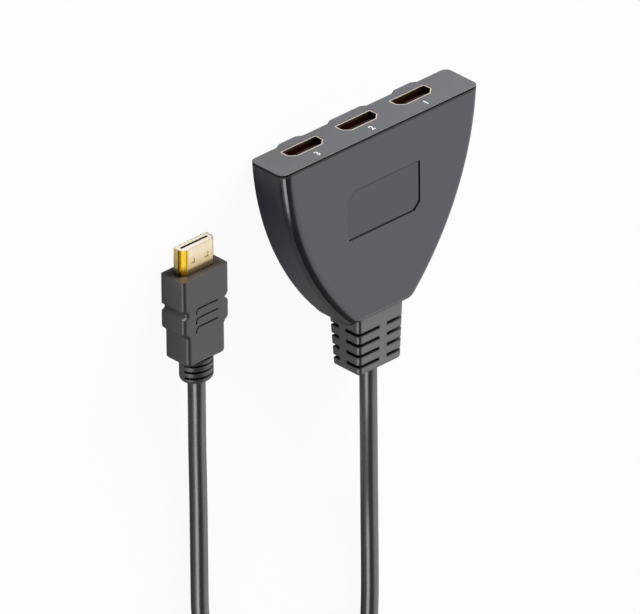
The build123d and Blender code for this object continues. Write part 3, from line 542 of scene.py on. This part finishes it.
shellMarks = {
    # painted reflection: the side faces a deeper yellow
    "sideTilt": 0.97,
    "paintedLightSideTone": ((1.0, 0.79, 0.32), 0.0),
    # painted shade: darker and browner towards the grip
    "heightFade": (18.0, 24.0),
    "paintedShadeLowerTone": ((0.58, 0.43, 0.23), 0.0),
    # painted reflections and a painted highlight on the bevels
    "bandFade": 0.08,
    "paintedReflectionBands": [
        # low and high girth, and the tone of each painted reflection
        (-0.55, -0.1, (1.0, 0.82, 0.42), 0.1),
        (-0.1, 1.45, (0.32, 0.17, 0.003), 0.05),
        (1.45, 4.1, (1.0, 0.67, 0.05), 0.13),
        (4.1, 4.4, (0.40, 0.30, 0.12), 0.0),
    ],
    # painted shade at the shell's foot
    "footFade": (16.4, 17.7),
    "paintedShadeFootTone": ((0.18, 0.085, 0.008), 0.0),
    # painted highlight on the rim of the mouth
    "rim": 25.42,
    "rimTone": ((0.95, 0.88, 0.74), 0.15),
}


def shellShade(finish):
    # the plug's shell: champagne wide faces; painted reflections on its sides and bevels, deeper
    # yellow, amber and yellow; painted shade towards the grip and at its foot, and a painted
    # highlight on its rim
    marks = shellMarks
    across, along, up = finish.spot()
    [tiltAcross] = finish.facing("X")
    paintedLightSide = finish.size(tiltAcross) > marks["sideTilt"]
    middle = plugMarks["middle"]
    near = across < middle[0]
    # girth runs up the side face, over the bevel and on to the wide face
    girth = (up - middle[1]) + (plugMarks["shellHalf"][0] - finish.size(across - middle[0]))
    paintedShadeLower = 1 - finish.ease(along, *marks["heightFade"])
    tones = [(paintedShadeLower, *marks["paintedShadeLowerTone"]), (paintedLightSide, *marks["paintedLightSideTone"])]
    for low, high, *tone in marks["paintedReflectionBands"]:
        rise, fall = ((edge - marks["bandFade"], edge + marks["bandFade"])
                      for edge in (low, high))
        tones.append((finish.band(girth, rise, fall) * near, *tone))
    paintedShadeFoot = 1 - finish.ease(along, *marks["footFade"])
    return tones + [(paintedShadeFoot, *marks["paintedShadeFootTone"]), (along > marks["rim"], *marks["rimTone"])]


socketMarks = {
    # painted highlight on the rim at the port face
    "rim": 41.55,
    "rimTone": ((0.70, 0.63, 0.55), 0.35),
    # painted shade further into the socket
    "depthFade": (40.6, 41.35),
    "paintedShadeDeepTone": ((0.10, 0.022, 0.003), 0.3),
}


def socketShade(finish):
    # a socket's shell: a painted highlight on the rim at the face, and painted shade, dark
    # reddish brown, further in
    marks = socketMarks
    [along] = finish.spot("Y")
    deep = 1 - finish.ease(along, *marks["depthFade"])
    return [(along > marks["rim"], *marks["rimTone"]), (deep, *marks["paintedShadeDeepTone"])]


# Plastics. The other looks are the casing's with their own values in its place.
casingLook = {
    "color": (0.012, 0.014, 0.024), "roughness": 0.23, "specular": 1.0,
    "gleam": (0.93, 0.95, 1.0), "ior": 1.5, "mottle": 0.03, "speckle": 0.05,
    "fineShare": 0.5, "flowSize": 9.0, "flowDetail": 3.0, "grainSize": 0.35,
    "grainDetail": 1.5, "grainDepth": 0.003, "glossDrift": 0.04,
}
plainLook = {**casingLook, "gleam": (1.0, 1.0, 1.0), "specular": 0.5}
casingPlastic = mouldedPlastic("casingPlastic", casingLook, casingShade, casingSwell)
blankPlate = mouldedPlastic("blankPlate", {
    **casingLook, "color": (0.009, 0.011, 0.021), "roughness": 0.32, "grainSize": 0.25,
}, plateShade)
buttonPlastic = mouldedPlastic("buttonPlastic", {
    **casingLook, "color": (0.030, 0.032, 0.036), "roughness": 0.24,
})
reliefVinyl = mouldedPlastic("reliefVinyl", {
    **plainLook, "color": (0.108, 0.108, 0.108), "roughness": 0.34, "specular": 1.0,
    "speckle": 0.4, "grainSize": 0.45, "grainDepth": 0.014,
}, reliefShade)
plugVinyl = mouldedPlastic("plugVinyl", {
    **plainLook, "color": (0.059, 0.059, 0.059), "roughness": 0.34, "specular": 0.6,
    "speckle": 0.08, "grainSize": 0.4, "grainDepth": 0.006,
}, gripShade)
cableJacket = mouldedPlastic("cableJacket", {
    **plainLook, "color": (0.034, 0.034, 0.034), "roughness": 0.29, "specular": 1.0, "ior": 1.62,
    "flowSize": 14.0, "grainSize": 0.5, "grainDepth": 0.002,
})
socketBlack = mouldedPlastic("socketBlack", {
    **plainLook, "color": (0.012, 0.004, 0.0015), "roughness": 0.6, "specular": 0.2,
})
plugCream = mouldedPlastic("plugCream", {
    **plainLook, "color": (0.66, 0.59, 0.50), "roughness": 0.5, "speckle": 0.02,
}, insulatorShade)
switchBlack = mouldedPlastic("switchBlack", {
    **plainLook, "color": (0.03, 0.03, 0.032), "roughness": 0.5,
})
tieStrap = mouldedPlastic("tieStrap", {
    **plainLook, "color": (0.03, 0.03, 0.033), "roughness": 0.85, "specular": 0.2,
    "speckle": 0.3, "grainSize": 0.5, "grainDepth": 0.08,
})
numeralInk = mouldedPlastic("numeralInk", {
    **plainLook, "color": (0.70, 0.70, 0.71), "roughness": 0.6, "specular": 0.3,
})
chipBlack = mouldedPlastic("chipBlack", {
    **plainLook, "color": (0.03, 0.03, 0.033), "roughness": 0.55,
})
ceramicTan = mouldedPlastic("ceramicTan", {
    **plainLook, "color": (0.52, 0.42, 0.28), "roughness": 0.6,
})


# Metals
goldLook = {
    "deep": (0.76, 0.65, 0.45), "pale": (0.82, 0.71, 0.51), "roughness": 0.2,
    "glossDrift": 0.06, "lineSize": 0.25, "lineStretch": 8.0, "hazeSize": 3.0,
    "lineDepth": 0.001,
}
tinLook = {
    "deep": (0.62, 0.62, 0.60), "pale": (0.74, 0.74, 0.72), "roughness": 0.35,
    "glossDrift": 0.12, "lineSize": 0.3, "lineStretch": 4.0, "hazeSize": 1.5,
    "lineDepth": 0.003,
}
plugGold = platedMetal("plugGold", goldLook, shellShade)
socketGold = platedMetal("socketGold", goldLook, socketShade)
contactGold = platedMetal("contactGold", {
    **goldLook, "deep": (0.88, 0.64, 0.26), "pale": (0.92, 0.70, 0.34), "lineSize": 0.2,
    "lineStretch": 6.0, "hazeSize": 2.0,
})
tinPlate = platedMetal("tinPlate", tinLook)
ferruleCopper = platedMetal("ferruleCopper", {
    **tinLook, "deep": (0.62, 0.32, 0.18), "pale": (0.74, 0.42, 0.26), "roughness": 0.3,
    "lineDepth": 0.004,
})


boardLook = {
    "roughness": 0.32, "wanderSize": 12.0, "wander": 6.0, "trackPitch": 0.9,
    "trackStart": 0.55, "patchSize": 7.0, "weavePitch": 0.4, "trackDepth": 0.03,
    "ground": ((0.010, 0.085, 0.035), (0.014, 0.105, 0.045)),
    "track": ((0.03, 0.20, 0.08), (0.035, 0.22, 0.09)),
}


def boardFinish():
    # green mask over copper: paler straight tracks under it, and a woven glass ground
    look = boardLook
    finish = Finish("boardMask", roughness=look["roughness"])
    across, along = finish.spot("XY")
    wander = finish.noise(look["wanderSize"], 0.0)
    rail = finish.make("ShaderNodeMath", {"operation": "PINGPONG"},
                       {0: across + wander * look["wander"], 1: look["trackPitch"]})
    patch = finish.noise(look["patchSize"], 0.0) > noiseMiddle
    track = (rail > look["trackStart"]) * patch
    weave = finish.make("ShaderNodeMath", {"operation": "PINGPONG"},
                        {0: along, 1: look["weavePitch"]})
    ground = finish.tint(weave / look["weavePitch"], *look["ground"])
    copper = finish.tint(wander, *look["track"])
    finish.drive("color", finish.blendColors(track, ground, copper))
    finish.drive("normal", finish.bump(track, look["trackDepth"]))
    return finish.material


wireLook = {
    "roughness": 0.4, "fanEnd": -4.4, "fanLeast": 0.5, "fanGrowth": 0.15, "width": 16.0,
    "grainSize": 0.3, "grainDepth": 0.004,
    "sleeves": [
        (0.55, 0.03, 0.03), (0.02, 0.10, 0.45), (0.55, 0.42, 0.03), (0.03, 0.30, 0.06),
        (0.60, 0.60, 0.60), (0.35, 0.12, 0.03), (0.30, 0.05, 0.35), (0.03, 0.03, 0.03),
    ],
}


def wireFinish():
    # a sleeve colour for each wire, by its place across the fan
    look = wireLook
    finish = Finish("wireSleeve", roughness=look["roughness"])
    across, along = finish.spot("XY")
    fan = look["fanLeast"] + (look["fanEnd"] - along) * look["fanGrowth"]
    share = across / (look["width"] * fan) + 1 / 2
    stops = [(index / len(look["sleeves"]), hue) for index, hue in enumerate(look["sleeves"])]
    ramp = finish.make("ShaderNodeValToRGB", {"stops": stops, "steps": "CONSTANT"},
                       {"Fac": share})
    finish.drive("color", ramp)
    finish.drive("normal", finish.bump(finish.noise(look["grainSize"]), look["grainDepth"]))
    return finish.material


lampLook = {
    "roughness": 0.25, "hazeSize": 0.5, "deep": (0.45, 0.03, 0.02), "pale": (0.60, 0.06, 0.04),
}


def lampFinish():
    finish = Finish("indicatorLamp", roughness=lampLook["roughness"])
    haze = finish.noise(lampLook["hazeSize"])
    finish.drive("color", finish.tint(haze, lampLook["deep"], lampLook["pale"]))
    return finish.material


pipeLook = {
    "ior": 1.49, "clear": 0.85, "hazeSize": 0.8, "deep": (0.86, 0.86, 0.86),
    "pale": (0.95, 0.95, 0.95), "roughness": 0.12, "glossDrift": 0.1,
}


def pipeFinish():
    # clear moulded pipe with a faint haze
    finish = Finish("lightPipe", ior=pipeLook["ior"], through=pipeLook["clear"])
    haze = finish.noise(pipeLook["hazeSize"])
    finish.drive("color", finish.tint(haze, pipeLook["deep"], pipeLook["pale"]))
    finish.drive("roughness", pipeLook["roughness"] + haze * pipeLook["glossDrift"])
    return finish.material


screwLook = {
    "hazeSize": 1.5, "deep": (0.52, 0.52, 0.53), "pale": (0.64, 0.64, 0.62), "roughness": 0.28,
    "glossDrift": 0.12, "grainSize": 0.25, "grainDepth": 0.004,
}


def screwFinish():
    # zinc plating: fine grain, and a warm and cool haze
    look = screwLook
    finish = Finish("screwSteel", metal=1.0)
    haze = finish.noise(look["hazeSize"])
    finish.drive("color", finish.tint(haze, look["deep"], look["pale"]))
    finish.drive("roughness", look["roughness"] + haze * look["glossDrift"])
    finish.drive("normal", finish.bump(finish.noise(look["grainSize"]), look["grainDepth"]))
    return finish.material


nodeFinishes = {
    casingPlastic: ["label_cover", "button_cover"],
    blankPlate: ["label_plate"],
    socketGold: ["socket_shell_1", "socket_shell_2", "socket_shell_3"],
    plugGold: ["plug_shell"],
    socketBlack: ["socket_insulator_1", "socket_insulator_2", "socket_insulator_3"],
    contactGold: ["socket_contacts_1", "socket_contacts_2", "socket_contacts_3",
                  "plug_contacts"],
    boardFinish(): ["circuit_board"],
    chipBlack: ["switch_chip", "equaliser_chip", "regulator"],
    tinPlate: ["crystal", "push_switch_frame"],
    ceramicTan: ["board_passives"],
    screwFinish(): ["cover_screws"],
    switchBlack: ["push_switch_base", "push_switch_plunger"],
    buttonPlastic: ["select_button"],
    lampFinish(): ["indicator_leds"],
    pipeFinish(): ["light_pipes"],
    reliefVinyl: ["strain_relief"],
    cableJacket: ["cable_stub"],
    ferruleCopper: ["cable_ferrule"],
    wireFinish(): ["output_wires"],
    plugVinyl: ["plug_overmould", "plug_relief"],
    plugCream: ["plug_insulator"],
}
for material, names in nodeFinishes.items():
    for name in names:
        nodes[name].data.materials.clear()
        nodes[name].data.materials.append(material)
outputCable.data.materials.append(cableJacket)
print("finishes made")


def addPiece(name, mesh, material, body):
    piece = bpy.data.objects.new(name, mesh)
    bpy.context.scene.collection.objects.link(piece)
    mesh.materials.clear()
    mesh.materials.append(material)
    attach(piece, body)
    return piece


def meshFrom(shape, name, smooth=False):
    mesh = bpy.data.meshes.new(name)
    bmesh.ops.recalc_face_normals(shape, faces=shape.faces)
    shape.to_mesh(mesh)
    shape.free()
    mesh.polygons.foreach_set("use_smooth", [smooth] * len(mesh.polygons))
    return mesh


# Numerals printed under the sockets, their tops towards the sockets
numerals = {
    "height": 2.3,
    "bolder": 0.015,
    "thickness": 0.03,
    "level": 12.35,
    "places": {"3": -23.7, "2": -0.9, "1": 21.9},
    "portFace": 41.75,
    "weld": 0.0001,
}


def makeNumeral(digit, across):
    data = bpy.data.curves.new("digit", "FONT")
    data.body = digit
    data.align_x, data.align_y = "CENTER", "CENTER"
    data.extrude = numerals["thickness"]
    data.offset = numerals["bolder"]
    lettering = bpy.data.objects.new("digit", data)
    bpy.context.scene.collection.objects.link(lettering)
    bpy.context.view_layer.update()
    mesh = bpy.data.meshes.new_from_object(lettering)
    bpy.data.objects.remove(lettering)
    lows = [min(v.co[axis] for v in mesh.vertices) for axis in range(3)]
    highs = [max(v.co[axis] for v in mesh.vertices) for axis in range(3)]
    middle = [(low + high) / 2 for low, high in zip(lows, highs)]
    size = numerals["height"] / (highs[1] - lows[1])
    depth = numerals["thickness"] / (highs[2] - lows[2])
    onFace = Matrix(((1, 0, 0, 0), (0, 0, 1, 0), (0, -1, 0, 0), (0, 0, 0, 1)))
    spot = Vector((across, numerals["portFace"], numerals["level"])) * mm
    mesh.transform(Matrix.Translation((-middle[0], -middle[1], -lows[2])))
    mesh.transform(Matrix.Diagonal((size * mm, size * mm, depth * mm, 1)))
    mesh.transform(Matrix.Translation(spot) @ onFace)
    shape = bmesh.new()
    shape.from_mesh(mesh)
    bmesh.ops.remove_doubles(shape, verts=shape.verts, dist=numerals["weld"] * mm)
    mesh = meshFrom(shape, "numeral" + digit)
    addPiece("numeral" + digit, mesh, numeralInk, "housing")


for digit, across in numerals["places"].items():
    makeNumeral(digit, across)
print("numerals made")


# Strap round the coil's two strands
strap = {
    "strands": (-2.5, 4.0),
    "along": -162.5,
    "level": 3.27,
    "inner": 2.88,
    "thickness": 0.36,
    "width": 6.0,
    "steps": 40,
    "tailLength": 7.0,
    "tailShift": 0.6,
    "tailGap": 0.02,
    "rounding": 0.08,
    "roundingSteps": 2,
}


def makeStrap():
    shape = bmesh.new()
    middle = sum(strap["strands"]) / 2
    half = (strap["strands"][1] - strap["strands"][0]) / 2
    bmesh.ops.create_circle(shape, segments=strap["steps"], radius=strap["inner"] * mm)
    stand = Matrix.Rotation(radians(90), 4, "X")
    bmesh.ops.transform(shape, matrix=stand, verts=shape.verts)
    for vert in shape.verts:
        vert.co.x += (half if vert.co.x > 0 else -half) * mm
    bmesh.ops.translate(shape, verts=shape.verts, vec=Vector(
        (middle, strap["along"] - strap["width"] / 2, strap["level"])) * mm)
    ring = bmesh.ops.extrude_edge_only(shape, edges=shape.edges)["geom"]
    bmesh.ops.translate(shape, verts=[v for v in ring if isinstance(v, bmesh.types.BMVert)],
                        vec=(0, strap["width"] * mm, 0))
    bmesh.ops.recalc_face_normals(shape, faces=shape.faces)
    bmesh.ops.solidify(shape, geom=shape.faces, thickness=-strap["thickness"] * mm)
    # the free end lies flat on top of the strap
    tail = bmesh.ops.create_cube(shape, size=1.0)["verts"]
    bmesh.ops.scale(shape, verts=tail, vec=Vector(
        (strap["tailLength"], strap["width"], strap["thickness"])) * mm)
    bmesh.ops.translate(shape, verts=tail, vec=Vector((
        middle - half + strap["tailShift"], strap["along"],
        strap["level"] + strap["inner"] + 1.5 * strap["thickness"] + strap["tailGap"])) * mm)
    piece = addPiece("coilStrap", meshFrom(shape, "coilStrap"), tieStrap, "housing")
    rounding = piece.modifiers.new("rounding", "BEVEL")
    rounding.width, rounding.segments = strap["rounding"] * mm, strap["roundingSteps"]
    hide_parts("coil_tie")
    return piece


coilStrap = makeStrap()
print("strap made")


# Snap dome of the push switch
dome = {
    "centre": (0.0, 1.75),
    "low": 7.05,
    "high": 8.0,
    "rim": 1.95,
    "thickness": 0.12,
    "steps": 40,
    "weld": 0.001,
    "keep": 0.62,
}


def makeDome():
    shape = bmesh.new()
    crown, rim = dome["rim"] / 2, dome["rim"]
    corners = [(0.0, dome["low"]), (crown, dome["low"]), (rim, dome["high"] - dome["thickness"])]
    verts = [shape.verts.new(Vector((x, 0, z)) * mm) for x, z in corners]
    edges = [shape.edges.new(pair) for pair in zip(verts, verts[1:])]
    bmesh.ops.spin(shape, geom=verts + edges, cent=(0, 0, 0), axis=(0, 0, 1), dvec=(0, 0, 0),
                   angle=2 * pi, steps=dome["steps"], use_merge=True)
    bmesh.ops.remove_doubles(shape, verts=shape.verts, dist=dome["weld"] * mm)
    bmesh.ops.recalc_face_normals(shape, faces=shape.faces)
    bmesh.ops.solidify(shape, geom=shape.faces, thickness=dome["thickness"] * mm)
    bmesh.ops.translate(shape, verts=shape.verts, vec=Vector((*dome["centre"], 0)) * mm)
    piece = addPiece("snapDome", meshFrom(shape, "snapDome", True), tinPlate, "housing")
    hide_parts("snap_dome")
    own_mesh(piece)


makeDome()
print("snap dome made")


# Floor and light. The floor is white to the eye and to glossy rays, and keeps a soft shadow.
floorLook = {"span": 3.0, "drop": 0.02, "white": 1.0, "gloss": 0.8, "bounce": 0.5, "glow": 0.935}


def makeFloor():
    shape = bmesh.new()
    bmesh.ops.create_grid(shape, x_segments=1, y_segments=1, size=floorLook["span"] / 2)
    bmesh.ops.translate(shape, verts=shape.verts, vec=(0, 0, -floorLook["drop"] * mm))
    mesh = bpy.data.meshes.new("floor")
    shape.to_mesh(mesh)
    shape.free()
    floor = bpy.data.objects.new("floor", mesh)
    bpy.context.scene.collection.objects.link(floor)
    finish = Finish("floorPaper", roughness=1.0, specular=0.0, glowStrength=1.0)
    path = finish.make("ShaderNodeLightPath", output="Is Camera Ray")
    glossy = Signal(finish, path.socket.node.outputs["Is Glossy Ray"])
    clear = Signal(finish, path.socket.node.outputs["Is Transmission Ray"])
    seen = path + clear
    lit = floorLook["white"] * (1 - floorLook["glow"])
    color = finish.tint(glossy, (floorLook["bounce"],) * 3, (floorLook["gloss"],) * 3)
    finish.drive("color", finish.blendColors(seen, color, (lit, lit, lit, 1)))
    finish.drive("glow", finish.tint(seen, (0, 0, 0), (floorLook["glow"],) * 3))
    mesh.materials.append(finish.material)


lampCentre = (-20, -5, 8)
lamps = {
    # name: azimuth from +X, elevation, distance, width, height (in metres), radiance
    "keyBehind": (52, 15, 1.4, 1.4, 0.5, 17.5),
    "panelRight": (-40, 31, 1.4, 1.5, 1.5, 1.0),
    "softBoxLeft": (213, 19, 1.3, 0.72, 0.66, 3.4),
}


def makeLamps():
    for name, (azimuth, elevation, distance, width, height, radiance) in lamps.items():
        data = bpy.data.lights.new(name, "AREA")
        data.shape = "RECTANGLE"
        data.size, data.size_y = width, height
        data.energy = radiance * pi * width * height
        lamp = bpy.data.objects.new(name, data)
        bpy.context.scene.collection.objects.link(lamp)
        turn, lift = radians(azimuth), radians(elevation)
        away = Vector((cos(turn) * cos(lift), sin(turn) * cos(lift), sin(lift)))
        lamp.rotation_mode = "QUATERNION"
        lamp.rotation_quaternion = away.to_track_quat("Z", "Y")
        lamp.location = Vector(lampCentre) * mm + away * distance


worldLook = {"seen": 1.0, "light": 0.1, "glossShare": 0.02}


def makeWorld():
    world = bpy.data.worlds.new("studio")
    world.use_nodes = True
    bpy.context.scene.world = world
    tree = world.node_tree
    background = tree.nodes["Background"]
    background.inputs["Color"].default_value = (1, 1, 1, 1)
    path = tree.nodes.new("ShaderNodeLightPath")
    level = tree.nodes.new("ShaderNodeMath")
    level.operation = "MULTIPLY_ADD"
    glossy = tree.nodes.new("ShaderNodeMath")
    glossy.operation = "MULTIPLY_ADD"
    tree.links.new(path.outputs["Is Glossy Ray"], glossy.inputs[0])
    glossy.inputs[1].default_value = worldLook["glossShare"]
    tree.links.new(path.outputs["Is Camera Ray"], glossy.inputs[2])
    tree.links.new(glossy.outputs[0], level.inputs[0])
    level.inputs[1].default_value = worldLook["seen"] - worldLook["light"]
    level.inputs[2].default_value = worldLook["light"]
    tree.links.new(level.outputs[0], background.inputs["Strength"])


makeFloor()
makeLamps()
makeWorld()
print("stage and light made")
